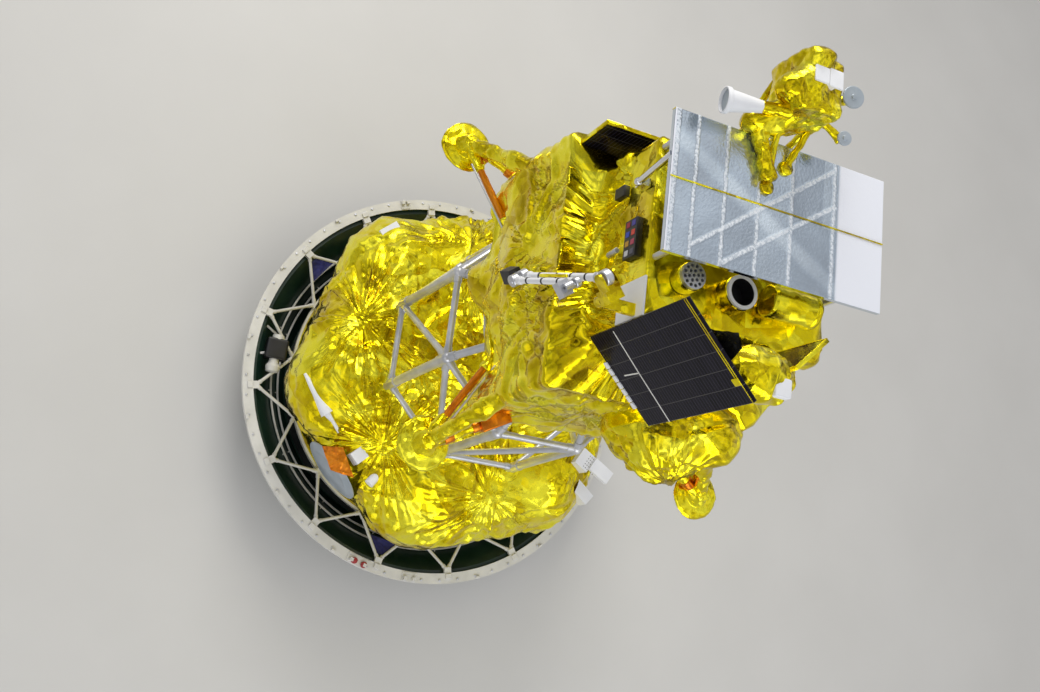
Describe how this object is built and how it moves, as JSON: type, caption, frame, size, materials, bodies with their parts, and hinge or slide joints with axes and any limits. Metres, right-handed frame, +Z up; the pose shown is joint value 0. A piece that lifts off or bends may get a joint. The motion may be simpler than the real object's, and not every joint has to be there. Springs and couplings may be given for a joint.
{
  "type": "lunar lander stack",
  "caption": "Foil-wrapped lunar lander with robot arm, radiator and solar panels, on its tank-ring transfer stage, strut adapter ring and support cone.",
  "frame": {"origin": "centre of the support cone's foot flange, on the floor", "axes": "+Z up the stack, +X towards leg 1, +Y towards leg 2"},
  "size_m": [3.8998, 3.8998, 6.32],
  "materials": {
    "bare_alloy": "bare machined alloy",
    "dark_membrane": "matt black film",
    "gold_film": "gold metallised film, crinkled",
    "green_paint": "satin dark green paint",
    "nozzle_alloy": "heat tinted alloy",
    "orange_wrap": "orange film wrap",
    "silver_film": "second surface mirror film",
    "solar_cell": "dark cell glass",
    "white_ceramic": "white thermal paint",
    "white_paint": "white paint"
  },
  "bodies": {
    "stack": {"adapter_fittings": "white_paint", "adapter_ring": "white_paint", "adapter_struts": "white_paint", "arm_base": "gold_film", "body_plates": "white_ceramic", "closing_plate": "dark_membrane", "cone_pipes": "white_paint", "disc_antenna": "white_ceramic", "disc_antenna_mount": "orange_wrap", "foot_1": "gold_film", "foot_2": "gold_film", "foot_3": "gold_film", "foot_4": "gold_film", "instrument_bag": "gold_film", "instrument_can": "gold_film", "instrument_grid_disc": "bare_alloy", "instrument_ring_tube": "white_ceramic", "lander_deck_ring": "bare_alloy", "lander_engine_bay": "gold_film", "lander_lower_body": "gold_film", "lander_upper_body": "gold_film", "leg_1": "gold_film", "leg_2": "gold_film", "leg_3": "gold_film", "leg_4": "gold_film", "mast_rod": "bare_alloy", "panel_stays": "bare_alloy", "radiator_panel": "silver_film", "radiator_posts": "bare_alloy", "ring_brackets": "white_paint", "sensor_baffle": "white_ceramic", "sensor_box": "gold_film", "sensor_discs": "bare_alloy", "sensor_frame": "gold_film", "sensor_stays": "gold_film", "side_tank": "gold_film", "solar_panel_front": "solar_cell", "solar_panel_rear": "solar_cell", "solar_panel_side": "solar_cell", "stage_base_ring": "white_paint", "stage_boxes": "white_ceramic", "stage_core": "gold_film", "stage_engine": "nozzle_alloy", "stage_horn": "white_ceramic", "stage_skirt": "gold_film", "stage_tanks": "gold_film", "support_cone": "green_paint", "truss_diagonals": "bare_alloy", "truss_hubs": "bare_alloy", "truss_posts": "bare_alloy", "truss_rails": "bare_alloy"},
    "turret": {"arm_turret": "bare_alloy"},
    "upper_link": {"arm_upper_link": "white_ceramic", "arm_camera": "dark_membrane"},
    "forearm": {"arm_forearm": "white_ceramic"},
    "scoop": {"arm_scoop": "white_ceramic"}
  },
  "joints": [
    {"name": "arm_yaw", "type": "hinge", "parent": "stack", "child": "turret", "pos_m": [0.25989, 0.90258, 5.627], "axis": [0, 0, 1], "range_deg": [0, 70]},
    {"name": "arm_shoulder", "type": "hinge", "parent": "turret", "child": "upper_link", "pos_m": [0.363, 0.889, 5.737], "axis": [-0.1305, -0.9914, 0], "range_deg": [0, 110]},
    {"name": "arm_elbow", "type": "hinge", "parent": "upper_link", "child": "forearm", "pos_m": [0.58982, 0.85914, 4.94956], "axis": [0.1305, 0.9914, 0], "range_deg": [0, 165]},
    {"name": "arm_wrist", "type": "hinge", "parent": "forearm", "child": "scoop", "pos_m": [0.42193, 0.95185, 5.56415], "axis": [0.1305, 0.9914, 0], "range_deg": [-60, 60]}
  ]
}
